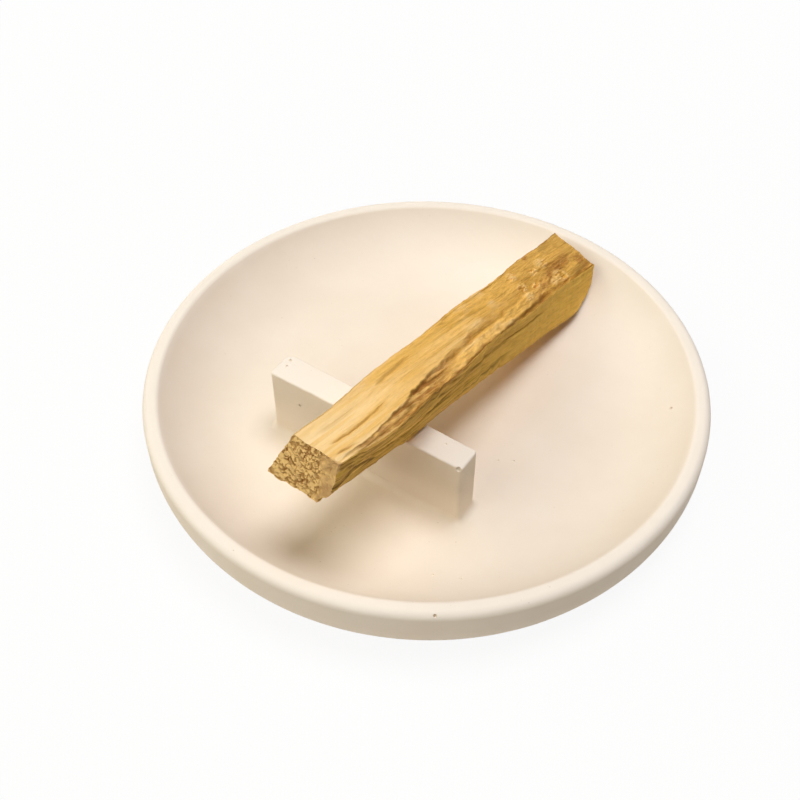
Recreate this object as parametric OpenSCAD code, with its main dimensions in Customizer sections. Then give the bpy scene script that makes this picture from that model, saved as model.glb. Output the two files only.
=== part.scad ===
// Palo santo holder: a shallow cast dish, an upright rest bonded to its floor, and the riven stick on it.
// Millimetres. The origin is the centre of the flat base. Z is up, X runs along the rest, and Y runs from
// the rest towards the far inner slope, where the stick's foot lies.

/* [Dish] */
// Diameter over the rim
dish_d = 121.4; // [108:0.2:150]
// Height from the base to the top of the rim
dish_h = 15.5; // [14:0.5:22]
// Depth of the hollow below the rim
hollow_depth = 9.8; // [7:0.1:11]
// Width of the rim, from the edge of the hollow to the outer wall
rim_w = 3.2; // [2.6:0.1:5]
// Rounding of the rim's outer edge
rim_outer_r = 1.7; // [0.6:0.1:1.9]
// Rounding of the rim's inner edge
rim_inner_r = 1.2; // [0.5:0.1:1.3]
// Height of the straight part of the outer wall, below the rim
wall_h = 4.8; // [3:0.1:7]

/* [Stick rest] */
// Length of the upright rest
rest_len = 46.7; // [34:0.1:52]
// Thickness at its left end
rest_t_left = 6.8; // [5:0.1:9]
// Thickness at its right end
rest_t_right = 5.9; // [5:0.1:9]
// Height above the dish floor
rest_h = 16.8; // [14:0.1:20]
// Distance of the rest from the dish's axis
rest_offset = 20.3; // [15:0.1:24]
// Rounding of the upright corners
rest_corner_r = 0.8; // [0.4:0.1:1.5]
// Rounding of the worn upright corner at the back left
worn_corner_r = 2; // [0.8:0.1:2.2]
// Depth of the slot that the foot stands in
slot_depth = 1.5; // [1:0.1:3]
// Glue line round the foot in its slot
slot_gap = 0.15; // [0.1:0.05:0.3]

/* [Foot bead] */
// Radius of the cove that is smoothed round the foot
bead_r = 1.2; // [0.8:0.1:3.2]
// Thickness of the bead at its two edges
bead_edge = 0.3; // [0.2:0.05:0.6]
// Flat floor left outside the bead
floor_margin = 3.6; // [1.5:0.1:4.5]

/* [Stick] */
// Length of the stick
stick_len = 101; // [88:1:112]
// Length that overhangs the back edge of the rest
overhang = 32.5; // [24:0.5:40]
// Sideways place of the stick on the rest
stick_x = 6.4; // [-10:0.1:10]
// Turn of the stick across the rest, in degrees
stick_yaw = 1.6; // [-8:0.1:8]
// Width of the top face
stick_w = 11.1; // [8:0.1:14]
// How much wider the underside is than the top
under_extra = 2.1; // [0:0.1:4]
// Thickness at the near end
near_t = 10.4; // [7:0.1:13]
// Thickness at the far end
far_t = 11.6; // [7:0.1:13]
// Sideways lean of the section at the near end
near_lean = 4.6; // [0:0.1:6]
// Sideways lean of the section at the far end, the other way
far_lean = 0.9; // [0:0.1:4]
// Swell of the left side at mid-length
left_swell = 1.1; // [0:0.1:2]
// Waist of the right side between the rest and the foot
right_waist = 0.9; // [0:0.1:2]
// Height of the top's left edge over its right edge at the near end
near_tilt = 0.8; // [0:0.1:3]
// Height of the top's left edge over its right edge at the far end
far_tilt = 3.4; // [0:0.1:5]
// Width of the top face that is left whole beside the split
plank_w = 6.3; // [4:0.1:7]
// Depth of the split beside it
split_depth = 1.5; // [0.4:0.1:2.5]
// Drop of the underside at the near end
near_drop = 1.2; // [0:0.1:2]
// Length of the rounding under the foot
heel_len = 12; // [6:0.5:16]
// Rise of the rounding under the foot
heel_rise = 4.3; // [2:0.1:6]
// Breaking of the stick's long edges
stick_edge = 0.5; // [0.2:0.1:0.8]
// Unevenness of its riven faces
stick_wander = 0.3; // [0:0.05:0.6]
// Clearance of the loose stick from what carries it
seat_gap = 0.3; // [0.2:0.05:0.5]

/* [Hidden] */
$fn = 96;

cast_colour = "#d9cbb4";
bead_colour = "#d3c4ab";
wood_colour = "#c79a57";

// Dish profile: the floor, the cove that rises from it and the curve under the outer wall
dish_r = dish_d/2;
floor_z = dish_h - hollow_depth;
under_r = dish_h - wall_h;
base_r = dish_r - under_r;
bead_reach = bead_r + bead_edge;
rest_t_max = max(rest_t_left, rest_t_right);
floor_r = norm([rest_len/2, rest_offset + rest_t_max/2]) + bead_reach + floor_margin;
cove_run = dish_r - rim_w - floor_r;
cove_r = (cove_run*cove_run + hollow_depth*hollow_depth)/(2*hollow_depth);
cove_z = floor_z + cove_r;
lip_x = floor_r + sqrt(pow(cove_r + rim_inner_r, 2) - pow(cove_z - dish_h + rim_inner_r, 2));
lip_z = cove_z - (cove_z - dish_h + rim_inner_r)*cove_r/(cove_r + rim_inner_r);
above = 1;

// Upright rest: its plan corners anticlockwise from the front left, and the rounding of each
rest_corners = [
    [-rest_len/2, -rest_offset - rest_t_left/2],
    [rest_len/2, -rest_offset - rest_t_right/2],
    [rest_len/2, -rest_offset + rest_t_right/2],
    [-rest_len/2, -rest_offset + rest_t_left/2]
];
corner_radii = [rest_corner_r, rest_corner_r, rest_corner_r, worn_corner_r];
corner_steps = 6;
cove_steps = 8;
rest_top = floor_z + rest_h;

// Stick: its ends along its own Y axis, measured from the back edge of the rest
near_y = -overhang;
far_y = stick_len - overhang;
stations = 40;
waist_from = 0.36;
wander_long = 0.62*stick_len;
wander_short = 0.27*stick_len;

// Split along the stick's top: where it opens, and its lip, bank, channel and ridge as shares across the top
split_from = near_y + 0.08*stick_len;
split_to = near_y + 0.52*stick_len;
lip_near = 0.92;
lip_far = plank_w/stick_w;
bank_end = 0.25;
channel_end = 0.35;
ridge_start = 0.8;
ridge_rise = 0.7;
plank_steps = 4;
split_steps = 7;

// Smooth step from 0 at a to 1 at b
function ease(a, b, v) =
    let (s = min(1, max(0, (v - a)/(b - a))))
    s*s*(3 - 2*s);

// Angle of the outward normal of a plan edge, anticlockwise corners
function edge_normal(p, q) = atan2(q.y - p.y, q.x - p.x) - 90;

// Plan outline of the rest's foot, grown outwards
function foot_outline(grow) = [
    for (i = [0:3])
        let (
            here = rest_corners[i],
            before = edge_normal(rest_corners[(i + 3) % 4], here),
            turn = (edge_normal(here, rest_corners[(i + 1) % 4]) - before + 360) % 360,
            middle = before + turn/2,
            centre = here - corner_radii[i]/cos(turn/2)*[cos(middle), sin(middle)]
        )
        for (k = [0:corner_steps])
            let (a = before + turn*k/corner_steps)
            centre + (corner_radii[i] + grow)*[cos(a), sin(a)]
];

// Y of the rest's back face at a place along it
function rest_back(x) =
    -rest_offset + (rest_t_left + (rest_t_right - rest_t_left)*(x/rest_len + 0.5))/2;

// Clearance of a point from the inside of the dish
function dish_clearance(r, z) =
    r < floor_r ? z - floor_z : max(cove_r - norm([r - floor_r, z - cove_z]), z - dish_h);

// Share of the way along the stick, from the near end
function share(y) = (y - near_y)/stick_len;

// Value between a at the near end and b at the far end
function between(a, b, y) = a + (b - a)*share(y);

// Height of the stick's underside: dropped at the near end, flat from the rest on, rounded up under the foot
function underside(y) =
    let (h = max(0, (y - far_y + heel_len)/heel_len))
    heel_rise*h*h - near_drop*ease(-rest_t_max, near_y, y);

// Swell of the left side along the stick: 0 at both ends, 1 at mid-length
function swell(y) = pow(sin(180*share(y)), 2);

// Waist of the right side: 0 as far as the rest and at the far end, 1 between them
function waist(y) = pow(sin(180*max(0, (share(y) - waist_from)/(1 - waist_from))), 2);

// Slow wander of a riven face along the stick, each face with its own phase
function wander(y, phase) =
    stick_wander*(sin(360*y/wander_long + phase) + sin(360*y/wander_short + 2*phase)/2);

// Share of the top face, from its left edge, where the split's lip runs
function lip(y) = lip_near + (lip_far - lip_near)*ease(split_from, split_to, y);

// Drop of the split at a share of the way from its lip to the right edge: a bank, a channel, then a ridge
function split_drop(y, v) =
    split_depth*ease(split_from, split_to, y)
        *(ease(0, bank_end, v) - ridge_rise*ease(channel_end, ridge_start, v));

// Points of the top face as [share across, drop]
function top_face(y) = concat(
    [for (k = [0:plank_steps]) [lip(y)*k/plank_steps, 0]],
    [for (k = [1:split_steps])
        let (v = k/split_steps)
        [lip(y) + (1 - lip(y))*v, split_drop(y, v)]]
);

// Section of the stick as [across, up] points, clockwise from the top left edge
function section(y) =
    let (
        lean = between(near_lean, -far_lean, y)/2,
        tilt = between(near_tilt, far_tilt, y),
        top = between(near_t, far_t, y) + wander(y, 80),
        low = underside(y),
        left = lean - stick_w/2 + wander(y, 20) - left_swell*swell(y),
        right = lean + stick_w/2 + wander(y, 150) - right_waist*waist(y),
        left_low = -lean - (stick_w + under_extra)/2,
        right_low = -lean + (stick_w + under_extra)/2 + wander(y, 200) - right_waist*waist(y)
    )
    concat(
        [for (p = top_face(y))
            [left + stick_edge + p.x*(right - left - 2*stick_edge), top + tilt/2 - tilt*p.x - p.y]],
        [
            [right, top - tilt/2 - stick_edge],
            [(right + right_low)/2, (top + low)/2],
            [right_low, low + stick_edge],
            [right_low - stick_edge, low],
            [(left_low + right_low)/2, low],
            [left_low + stick_edge, low],
            [left_low, low + stick_edge],
            [(left + left_low)/2, (top + low)/2],
            [left, top + tilt/2 - stick_edge]
        ]
    );

stick_rings = [
    for (k = [0:stations])
        let (y = near_y + stick_len*k/stations)
        [for (p = section(y)) [p.x, y, p.y]]
];
stick_points = [for (ring = stick_rings) each ring];

// The stick's own frame set on the back edge of the rest, dipped towards its foot
pivot = [stick_x, rest_back(stick_x), rest_top + seat_gap];
function set_down(p, dip) =
    let (
        along = p.y*cos(dip) + p.z*sin(dip),
        up = p.z*cos(dip) - p.y*sin(dip)
    )
    pivot + [
        p.x*cos(stick_yaw) + along*sin(stick_yaw),
        along*cos(stick_yaw) - p.x*sin(stick_yaw),
        up
    ];

// Least clearance of the foot from the dish at a dip, and the dip at which the foot comes to rest
function foot_clearance(dip) = min([
    for (p = stick_points)
        if (p.y > far_y/2)
            let (q = set_down(p, dip))
            dish_clearance(norm([q.x, q.y]), q.z)
]);
function settle(low, high, turns) =
    let (middle = (low + high)/2)
    turns == 0 ? low
        : foot_clearance(middle) > seat_gap ? settle(middle, high, turns - 1)
        : settle(low, middle, turns - 1);
stick_dip = settle(0, 30, 20);

// Middle of a ring of points
function middle(ring) = [for (p = ring) 1]*ring/len(ring);

// Faces of a grid of rings, each ring of the same count of points
function grid_faces(rings, count, last_ring) = [
    for (i = [0:last_ring])
        for (k = [0:count - 1])
            let (
                a = i*count + k,
                b = i*count + (k + 1) % count,
                c = ((i + 1) % rings)*count + (k + 1) % count,
                d = ((i + 1) % rings)*count + k
            )
            each [[a, c, b], [a, d, c]]
];

// Plan half of the dish: a blank with a rounded rim and a curve under the wall
module dish_blank() {
    square([base_r, dish_h]);
    translate([base_r, under_r])
        intersection() {
            circle(under_r);
            translate([0, -under_r])
                square(under_r);
        }
    translate([0, under_r])
        square([dish_r, wall_h - rim_outer_r]);
    translate([0, dish_h - rim_outer_r])
        square([dish_r - rim_outer_r, rim_outer_r]);
    translate([dish_r - rim_outer_r, dish_h - rim_outer_r])
        circle(rim_outer_r);
}

// Plan half of the hollow: the flat floor, the cove and the rounded inner edge of the rim. The shapes overlap,
// so that nothing is left standing between them.
module hollow() {
    translate([0, floor_z])
        square([floor_r, hollow_depth + above]);
    intersection() {
        translate([floor_r, cove_z])
            circle(cove_r);
        translate([0, floor_z])
            square([dish_r, hollow_depth + above]);
    }
    difference() {
        translate([0, lip_z])
            square([lip_x, dish_h + above - lip_z]);
        translate([lip_x, dish_h - rim_inner_r])
            circle(rim_inner_r);
    }
}

module dish() {
    color(cast_colour)
        difference() {
            rotate_extrude()
                difference() {
                    dish_blank();
                    hollow();
                }
            translate([0, 0, floor_z - slot_depth])
                linear_extrude(slot_depth + above)
                    polygon(foot_outline(slot_gap));
        }
}

module stick_rest() {
    color(cast_colour)
        translate([0, 0, floor_z - slot_depth])
            linear_extrude(slot_depth + rest_h)
                polygon(foot_outline(0));
}

// Bead with a hollow cove face, swept round the foot
module foot_bead() {
    profile = concat(
        [[0, 0], [bead_reach, 0]],
        [for (k = [0:cove_steps])
            let (a = 270 - 90*k/cove_steps)
            [bead_reach + bead_r*cos(a), bead_reach + bead_r*sin(a)]],
        [[0, bead_reach]]
    );
    rings = [for (p = profile) [for (q = foot_outline(p.x)) [q.x, q.y, floor_z + p.y]]];
    count = len(rings[0]);
    color(bead_colour)
        polyhedron(
            [for (ring = rings) each ring],
            grid_faces(len(rings), count, len(rings) - 1)
        );
}

// Riven stick, with each sawn end closed round its middle point
module palo_santo_stick() {
    count = len(stick_rings[0]);
    last = stations*count;
    near_middle = last + count;
    far_middle = near_middle + 1;
    points = concat(stick_points, [middle(stick_rings[0]), middle(stick_rings[stations])]);
    color(wood_colour)
        polyhedron(
            [for (p = points) set_down(p, stick_dip)],
            concat(
                [for (k = [0:count - 1]) [near_middle, k, (k + 1) % count]],
                grid_faces(stations + 1, count, stations - 1),
                [for (k = [0:count - 1]) [far_middle, last + (k + 1) % count, last + k]]
            )
        );
}

dish();
stick_rest();
foot_bead();
palo_santo_stick();
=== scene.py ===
"""Looks of the palo santo holder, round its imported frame. Lengths in mm are turned into metres."""

import itertools
import math

import bmesh
import bpy
import numpy as np
from mathutils import Matrix, Vector


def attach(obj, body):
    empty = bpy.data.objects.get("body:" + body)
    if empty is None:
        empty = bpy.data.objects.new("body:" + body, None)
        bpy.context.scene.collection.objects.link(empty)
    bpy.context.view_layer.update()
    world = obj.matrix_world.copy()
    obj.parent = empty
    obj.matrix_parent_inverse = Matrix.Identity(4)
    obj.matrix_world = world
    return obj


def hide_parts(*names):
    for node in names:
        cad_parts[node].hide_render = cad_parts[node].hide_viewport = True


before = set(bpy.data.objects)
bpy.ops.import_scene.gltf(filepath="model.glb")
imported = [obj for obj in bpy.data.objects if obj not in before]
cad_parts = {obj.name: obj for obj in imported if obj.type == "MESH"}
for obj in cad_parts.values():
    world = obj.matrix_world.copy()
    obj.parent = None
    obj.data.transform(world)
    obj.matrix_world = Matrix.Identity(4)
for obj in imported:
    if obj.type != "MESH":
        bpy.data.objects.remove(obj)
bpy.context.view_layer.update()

MM = 0.001

# Dish, in mm, as in the part's source
DISH_R = 60.7
DISH_H = 15.5
HOLLOW_DEPTH = 9.8
RIM_W = 3.2
RIM_OUTER_R = 1.7
RIM_INNER_R = 1.2
WALL_H = 4.8
FLOOR_Z = DISH_H - HOLLOW_DEPTH
UNDER_R = DISH_H - WALL_H

# Upright rest and the bead round its foot, in mm
REST_LEN = 46.7
REST_T_LEFT = 6.8
REST_T_RIGHT = 5.9
REST_H = 16.8
REST_OFFSET = 20.3
REST_TOP = FLOOR_Z + REST_H
CORNER_RADII = (0.8, 0.8, 0.8, 2.0)
BEAD_REACH = 1.5
FLOOR_MARGIN = 3.6
FLOOR_R = math.hypot(REST_LEN/2, REST_OFFSET + REST_T_LEFT/2) + BEAD_REACH + FLOOR_MARGIN

# Stick, in mm and degrees
STICK_LEN = 101.0
OVERHANG = 32.5
STICK_X = 6.4
STICK_YAW = 1.6
STICK_DIP = 13.87
STICK_W = 11.1
UNDER_EXTRA = 2.1
NEAR_T, FAR_T = 10.4, 11.6
NEAR_LEAN, FAR_LEAN = 4.6, -0.9
NEAR_TILT, FAR_TILT = 0.8, 3.4
NEAR_DROP = 1.2
HEEL_LEN, HEEL_RISE = 12.0, 4.3
WANDER, WANDER_LONG, WANDER_SHORT = 0.3, 0.62, 0.27
TOP_PHASE, LEFT_PHASE, RIGHT_PHASE, LOW_PHASE = 80, 20, 150, 200
SEAT_GAP = 0.3

# Camera of the photograph, in metres, with lens and sensor in mm
CAMERA_AT = Vector((0.09181, -0.14415, 0.19402))
CAMERA_AIM = Vector((-0.0003, -0.00958, 0.0155))
CAMERA_LENS = 51.75
SENSOR = 36.0


def ease(a, b, v):
    """Smooth step from 0 at a to 1 at b."""
    s = np.clip((v - a)/(b - a), 0, 1)
    return s*s*(3 - 2*s)


def bump(middle, half, v):
    """Smooth hump: 1 at the middle, 0 from half a width away."""
    return ease(half, 0, np.abs(v - middle))


def between(low, high, share):
    """Value from low at a share of 0 to high at a share of 1."""
    return low + (high - low)*share


# Solid noise repeats after this many cells
NOISE_CELLS = 64


def solid_noise(x, y, z, seed):
    """Smooth noise from -1 to 1 in space, one cell per unit."""
    table = np.random.default_rng(seed).uniform(-1, 1, (NOISE_CELLS,)*3)
    coords = np.broadcast_arrays(x, y, z)
    cells = [np.floor(c).astype(int) for c in coords]
    parts = [c - i for c, i in zip(coords, cells)]
    parts = [p*p*(3 - 2*p) for p in parts]
    total = np.zeros(coords[0].shape)
    for corner in itertools.product((0, 1), repeat=3):
        weight = np.ones(coords[0].shape)
        for part, side in zip(parts, corner):
            weight *= part if side else 1 - part
        total += weight*table[tuple((i + side) % NOISE_CELLS for i, side in zip(cells, corner))]
    return total


def layered_noise(x, y, z, seed, layers=3):
    """Sum of finer and fainter layers of solid noise."""
    return sum(solid_noise(x*2**k, y*2**k, z*2**k, seed + k)/2**k for k in range(layers))


def ring_faces(rings, count):
    """Quads between rings of points, each a closed loop."""
    i, k = np.meshgrid(np.arange(rings - 1), np.arange(count), indexing="ij")
    a = i*count + k
    b = i*count + (k + 1) % count
    return np.stack([a, b, b + count, a + count], -1).reshape(-1, 4).tolist()


def capped_faces(rings, count):
    """Quads between rings, and fans to the two points after them that close both ends."""
    faces = ring_faces(rings, count)
    for middle, first in ((rings*count, 0), (rings*count + 1, (rings - 1)*count)):
        faces += [[middle, first + k, first + (k + 1) % count] for k in range(count)]
    return faces


def new_piece(name, points, faces):
    """Smooth mesh object from points in mm, its faces turned outwards."""
    mesh = bpy.data.meshes.new(name)
    mesh.from_pydata((np.asarray(points)*MM).tolist(), [], faces)
    shell = bmesh.new()
    shell.from_mesh(mesh)
    bmesh.ops.recalc_face_normals(shell, faces=shell.faces)
    shell.to_mesh(mesh)
    shell.free()
    mesh.shade_smooth()
    piece = bpy.data.objects.new(name, mesh)
    bpy.context.scene.collection.objects.link(piece)
    return piece


# Edges that turn by more than this stay crisp
SHARP_EDGE = math.radians(42)


def dress(piece, material, body, node):
    """Gives a piece crisp edges, its material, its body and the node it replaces."""
    piece.data.set_sharp_from_angle(angle=SHARP_EDGE)
    piece.data.materials.append(material)
    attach(piece, body)
    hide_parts(node)


def sink_pits(piece, pits):
    """Cuts round pits into a piece, each given by its middle and its radius in mm."""
    cutter_mesh = bpy.data.meshes.new("pit_cutter")
    shell = bmesh.new()
    for middle, radius in pits:
        place = Matrix.Translation(Vector(middle)*MM)
        bmesh.ops.create_icosphere(shell, subdivisions=2, radius=radius*MM, matrix=place)
    shell.to_mesh(cutter_mesh)
    shell.free()
    cutter = bpy.data.objects.new("pit_cutter", cutter_mesh)
    bpy.context.scene.collection.objects.link(cutter)
    cut = piece.modifiers.new("pits", "BOOLEAN")
    cut.operation = "DIFFERENCE"
    cut.solver = "EXACT"
    cut.object = cutter
    bpy.context.view_layer.update()
    graph = bpy.context.evaluated_depsgraph_get()
    whole = piece.data
    piece.data = bpy.data.meshes.new_from_object(piece.evaluated_get(graph))
    piece.data.name = whole.name
    piece.modifiers.clear()
    bpy.data.meshes.remove(whole)
    bpy.data.objects.remove(cutter)
    bpy.data.meshes.remove(cutter_mesh)
    piece.data.shade_smooth()


# Shader building blocks

NOISE_ROUGHNESS = 0.55
# Range that most values of a noise fall in
NOISE_SPAN = (0.3, 0.7)
# Sockets of a colour mix
MIX_A, MIX_B, MIX_RESULT = 6, 7, 2


def feed(node, feeds):
    """Feeds a node's sockets, each by another socket or with a value."""
    for key, value in feeds.items():
        socket = node.inputs[key]
        if isinstance(value, bpy.types.NodeSocket):
            node.id_data.links.new(value, socket)
        else:
            socket.default_value = (*value, 1) if socket.type == "RGBA" else value


def put(tree, kind, feeds, **settings):
    """Adds a node with its settings and what feeds it."""
    made = tree.nodes.new("ShaderNode" + kind)
    for key, value in settings.items():
        setattr(made, key, value)
    feed(made, feeds)
    return made


def new_material(name):
    """Material, its tree and its principled shader."""
    material = bpy.data.materials.new(name)
    material.use_nodes = True
    return material, material.node_tree, material.node_tree.nodes["Principled BSDF"]


def noise(place, cells, detail):
    """Noise with so many cells per metre along each axis."""
    scaled = put(place.id_data, "VectorMath", {0: place, 1: cells}, operation="MULTIPLY")
    feeds = {"Vector": scaled.outputs[0], "Scale": 1.0, "Detail": detail, "Roughness": NOISE_ROUGHNESS}
    return put(place.id_data, "TexNoise", feeds).outputs["Fac"]


def remap(value, low, high, to_low=0.0, to_high=1.0):
    """Value moved from one range to another and held inside it."""
    feeds = {"Value": value, "From Min": low, "From Max": high, "To Min": to_low, "To Max": to_high}
    return put(value.id_data, "MapRange", feeds).outputs["Result"]


def rise(value, span, most=1.0):
    """Value that rises from 0 to its most over a span in mm."""
    return remap(value, *(end*MM for end in span), 0, most)


def maths(operation, a, b):
    """Sum, product or the like of a socket and a socket or number."""
    return put(a.id_data, "Math", {0: a, 1: b}, operation=operation).outputs[0]


def mix(factor, a, b):
    """Colour between a and b, each a socket or a colour."""
    feeds = {0: factor, MIX_A: a, MIX_B: b}
    return put(factor.id_data, "Mix", feeds, data_type="RGBA").outputs[MIX_RESULT]


def attribute(tree, name, output="Fac"):
    """Value that the mesh carries at its points."""
    return put(tree, "Attribute", {}, attribute_name=name).outputs[output]


def length(vector):
    """Length of a vector."""
    return put(vector.id_data, "VectorMath", {0: vector}, operation="LENGTH").outputs["Value"]


# Cast body: matt cream with soft clouds, a fine tooth, a few specks, and painted light that makes its
# crown, its top and its far slope paler

CAST_LIGHT = (0.865, 0.76, 0.62)
CAST_DARK = (0.835, 0.72, 0.575)
# Paler colour of painted light, for the rim's crown, the rest's top and the far slope
CAST_PAINTED_LIGHT = (0.93, 0.84, 0.715)
SPECK = (0.50, 0.38, 0.26)
CAST_ROUGHNESS = (0.62, 0.8)
CAST_SPECULAR = 0.15
# Cells per metre of its noises
CLOUD_CELLS, SWELL_CELLS, GRIT_CELLS, TOOTH_CELLS = ((n, n, n) for n in (70, 160, 1500, 2600))
# Range of the grit that shows specks, and their strength
SPECK_SPAN, SPECK_SHARE = (0.79, 0.84), 0.55
# Bumps, with their distance in metres
TOOTH_BUMP = {"Strength": 0.25, "Distance": 0.00006}
SWELL_BUMP = {"Strength": 0.3, "Distance": 0.0004}
# Where painted light makes it paler, in mm, and how much: a painted highlight on the rim's crown and on the
# rest's top, and painted light on the far slope
CROWN_REACH, CROWN_HEIGHT, CROWN_PALE = (DISH_R - 6, DISH_R - 3), (DISH_H - 1.6, DISH_H - 0.3), 0.75
TOP_HEIGHT, TOP_PALE = (REST_TOP - 0.5, REST_TOP - 0.1), 0.6
SLOPE_FAR, SLOPE_REACH, SLOPE_PALE = (12, 45), (28, 46), 0.7


def painted_light_share(place):
    """How much painted light makes the cast body paler at a place."""
    tree = place.id_data
    flat = put(tree, "VectorMath", {0: place, 1: (1, 1, 0)}, operation="MULTIPLY")
    reach = length(flat.outputs[0])
    parts = put(tree, "SeparateXYZ", {0: place})
    height = parts.outputs["Z"]
    crown = maths("MULTIPLY", rise(reach, CROWN_REACH), rise(height, CROWN_HEIGHT, CROWN_PALE))
    far = rise(parts.outputs["Y"], SLOPE_FAR)
    slope = maths("MULTIPLY", far, rise(reach, SLOPE_REACH, SLOPE_PALE))
    return maths("MAXIMUM", maths("MAXIMUM", crown, rise(height, TOP_HEIGHT, TOP_PALE)), slope)


def cast_material():
    """Matt cast body of the dish, the rest and the bead."""
    material, tree, shader = new_material("cast_cream")
    place = put(tree, "TexCoord", {}).outputs["Object"]
    clouds = noise(place, CLOUD_CELLS, detail=4)
    tooth = noise(place, TOOTH_CELLS, detail=2)
    swells = noise(place, SWELL_CELLS, detail=2)
    grit = noise(place, GRIT_CELLS, detail=1)
    colour = mix(remap(clouds, *NOISE_SPAN), CAST_DARK, CAST_LIGHT)
    # Painted light: paler on the rim's crown, the rest's top and the far slope
    colour = mix(painted_light_share(place), colour, CAST_PAINTED_LIGHT)
    colour = mix(remap(grit, *SPECK_SPAN, 0, SPECK_SHARE), colour, SPECK)
    roughness = remap(swells, *NOISE_SPAN, *CAST_ROUGHNESS)
    fine = put(tree, "Bump", TOOTH_BUMP | {"Height": tooth})
    broad = put(tree, "Bump", SWELL_BUMP | {"Height": swells, "Normal": fine.outputs[0]})
    feed(shader, {"Base Color": colour, "Roughness": roughness, "Normal": broad.outputs[0]})
    feed(shader, {"Specular IOR Level": CAST_SPECULAR})
    return material


# Riven wood: pale to ochre along the stick, with the marks that the mesh carries

WOOD_PALE = (1.0, 0.72, 0.36)
WOOD_HONEY = (0.90, 0.50, 0.105)
WOOD_OCHRE = (0.68, 0.38, 0.08)
WOOD_STREAK = (0.55, 0.27, 0.05)
WOOD_FLUFF = (1.0, 0.60, 0.155)
WOOD_LINE = (0.17, 0.078, 0.010)
END_PALE = (1.0, 0.665, 0.25)
END_TAN = (0.66, 0.395, 0.16)
END_PORE = (0.34, 0.14, 0.025)
# Colours of the marks over the tone of the wood, the lowest first
MARK_COLOURS = {
    "flank": (0.86, 0.535, 0.10), "gold": (0.84, 0.45, 0.06), "olive": (0.36, 0.18, 0.03),
    "rust": (0.36, 0.125, 0.025), "fluff": WOOD_FLUFF, "tuft": WOOD_PALE,
}
WOOD_ROUGHNESS = (0.58, 0.8)
WOOD_SPECULAR = 0.1
WOOD_BUMP = {"Strength": 0.8, "Distance": 0.00025}
# Cells per metre of its noises, few along the grain
BAND_CELLS, STREAK_CELLS = (620, 14, 620), (1700, 38, 1700)
SPECK_CELLS, FIBRE_CELLS = (3600, 700, 3600), (4800, 160, 4800)
BAND_SWING = 0.08
# Tone of honey, between pale and ochre
MIDDLE_TONE = 0.5
# Grain shows more where the wood is less pale: tones, and its least colour and relief
GRAIN_TONE, GRAIN_COLOUR, GRAIN_RELIEF = (0.1, 0.6), 0.06, 0.4
FLANK_GRAIN = 0.5
# Ranges of a noise that darken and lighten the wood, and how much
DARK_SPAN, DARK_SHARE = (0.52, 0.70), 0.4
LIGHT_SPAN, LIGHT_SHARE = (0.46, 0.30), 0.35


def wood_material():
    """Riven wood of the stick, with its sawn ends."""
    material, tree, shader = new_material("riven_wood")
    grain = attribute(tree, "grain", "Vector")
    bands = noise(grain, BAND_CELLS, detail=3)
    streaks = noise(grain, STREAK_CELLS, detail=3)
    fibres = noise(grain, FIBRE_CELLS, detail=2)
    specks = noise(grain, SPECK_CELLS, detail=2)
    swing = remap(bands, *NOISE_SPAN, -BAND_SWING, BAND_SWING)
    tone = maths("ADD", attribute(tree, "tone"), swing)
    flank_share = remap(attribute(tree, "flank"), 0, 1, 1, FLANK_GRAIN)
    grainy = maths("MULTIPLY", remap(tone, *GRAIN_TONE, GRAIN_COLOUR, 1), flank_share)

    colour = mix(remap(tone, 0, MIDDLE_TONE), WOOD_PALE, WOOD_HONEY)
    colour = mix(remap(tone, MIDDLE_TONE, 1), colour, WOOD_OCHRE)
    for name, mark_colour in MARK_COLOURS.items():
        colour = mix(attribute(tree, name), colour, mark_colour)
    for marks in (streaks, specks, fibres):
        dark = maths("MULTIPLY", grainy, remap(marks, *DARK_SPAN, 0, DARK_SHARE))
        light = maths("MULTIPLY", grainy, remap(marks, *LIGHT_SPAN, 0, LIGHT_SHARE))
        colour = mix(dark, colour, WOOD_STREAK)
        colour = mix(light, colour, WOOD_FLUFF)
    colour = mix(attribute(tree, "lines"), colour, WOOD_LINE)
    end_colour = mix(attribute(tree, "smooth_end"), END_PALE, END_TAN)
    end_colour = mix(attribute(tree, "pore"), end_colour, END_PORE)
    colour = mix(attribute(tree, "sawn"), colour, end_colour)

    roughness = remap(fibres, *NOISE_SPAN, *WOOD_ROUGHNESS)
    height = maths("ADD", maths("ADD", streaks, fibres), specks)
    height = maths("MULTIPLY", height, remap(tone, *GRAIN_TONE, GRAIN_RELIEF, 1))
    raised = put(tree, "Bump", WOOD_BUMP | {"Height": height})
    feed(shader, {"Base Color": colour, "Roughness": roughness, "Normal": raised.outputs[0]})
    feed(shader, {"Specular IOR Level": WOOD_SPECULAR})
    return material


# Dish

DISH_AROUND = 400
# Steps along the profile: floor, cove, lip, crown, edge, wall, underside and base
DISH_STEPS = (40, 40, 10, 4, 10, 8, 26, 12)
BASE_INNER = 2.0
# Unevenness in mm: how far the rim is drawn in and sinks, and lumps inside
RIM_DRAW = 0.15
RIM_SINK = 0.04
FLOOR_LUMPS, LUMP_SIZE, LUMP_SEED = 0.05, 9, 5
# Waves round the rim: how many, their share and their phase in radians
DRAW_WAVES = ((1, 0.35, -2.64), (2, 0.4, 2.84), (3, 0.25, 2.08))
SINK_WAVES = ((3, 0.7, 0.4), (7, 0.3, 1.3))
# Lumps fade in past the level floor and with the height, and stop below the crown
LUMP_FADE, LUMP_HEIGHT, LUMP_CLEAR = 4, (1, 6), 0.5
# Pinholes that show, inside the dish: x, y and radius in mm
SEEN_PITS = (
    (46.6, 24.9, 0.42), (24.4, -3.0, 0.26), (21.6, -4.7, 0.24), (26.4, -37.3, 0.3),
    (31.5, -35.3, 0.3), (-4.5, -58.9, 0.26),
)
RIM_PIT = ((34.3, -49.0, 14.9), 0.42)
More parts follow.
